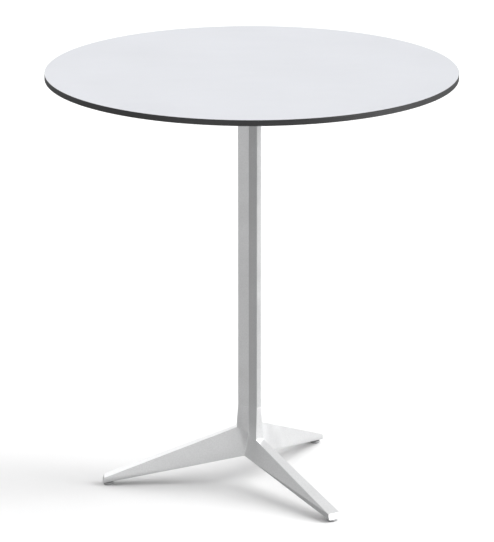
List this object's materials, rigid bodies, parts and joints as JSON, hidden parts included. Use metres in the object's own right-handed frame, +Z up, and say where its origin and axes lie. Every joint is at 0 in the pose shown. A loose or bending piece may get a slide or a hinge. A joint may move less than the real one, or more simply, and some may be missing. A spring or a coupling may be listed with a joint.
{
  "type": "bistro table",
  "caption": "Round bistro table with a thin laminate top on a tilting head, a star-section column and a three-legged cast base with screw-adjustable feet.",
  "frame": {"origin": "floor level on the column's axis, which is also the centre of the round top", "axes": "+Z up; the tilt pivot runs along X; the tabletop's +Y edge swings down; one leg points about -X"},
  "size_m": [0.6999, 0.7, 0.73],
  "materials": {
    "cast_coat": "cast aluminium under a pale silver-grey, fine-textured powder coat",
    "column_coat": "extruded aluminium under the same powder coat, smoother",
    "laminate_face": "matt cool white high-pressure laminate",
    "laminate_core": "charcoal compact-laminate core with a milled, lightly polished edge",
    "zinc_steel": "zinc-plated steel",
    "spring_steel": "blackened spring steel",
    "lever_steel": "steel lever under satin silver paint",
    "grip_plastic": "black moulded plastic with a fine grain",
    "nylon": "natural nylon",
    "buffer_rubber": "black rubber",
    "insert_brass": "machined brass",
    "glide_plastic": "light grey moulded plastic"
  },
  "bodies": {
    "stand": {"base_casting": "cast_coat", "column_extrusion": "column_coat", "tie_rod": "zinc_steel", "tie_rod_washers": "zinc_steel", "tie_rod_nuts": "zinc_steel", "head_yoke": "cast_coat", "stop_buffer": "buffer_rubber", "pivot_bolt": "zinc_steel", "friction_washers": "nylon", "thrust_washers": "zinc_steel", "pivot_clip": "spring_steel"},
    "tilting_top": {"tilt_bracket": "cast_coat", "pivot_bushes": "nylon", "bracket_screws": "zinc_steel", "threaded_inserts": "insert_brass", "tabletop_core": "laminate_core", "tabletop_top_sheet": "laminate_face", "tabletop_bottom_sheet": "laminate_face"},
    "lever": {"lock_lever": "lever_steel", "lever_grip": "grip_plastic"},
    "foot_left": {"foot_stud_left": "zinc_steel", "foot_pad_left": "glide_plastic"},
    "foot_back": {"foot_stud_back": "zinc_steel", "foot_pad_back": "glide_plastic"},
    "foot_front": {"foot_stud_front": "zinc_steel", "foot_pad_front": "glide_plastic"}
  },
  "joints": [
    {"name": "top_tilt", "type": "hinge", "parent": "stand", "child": "tilting_top", "pos_m": [0, 0.02, 0.702], "axis": [1, 0, 0], "range_deg": [-90, 0]},
    {"name": "lever_turn", "type": "hinge", "parent": "stand", "child": "lever", "pos_m": [0, 0.02, 0.702], "axis": [1, 0, 0], "range_deg": [0, 45]},
    {"name": "foot_left_height", "type": "slide", "parent": "stand", "child": "foot_left", "axis": [0, 0, -1], "range_m": [0, 0.004]},
    {"name": "foot_back_height", "type": "slide", "parent": "stand", "child": "foot_back", "axis": [0, 0, -1], "range_m": [0, 0.004]},
    {"name": "foot_front_height", "type": "slide", "parent": "stand", "child": "foot_front", "axis": [0, 0, -1], "range_m": [0, 0.004]}
  ]
}
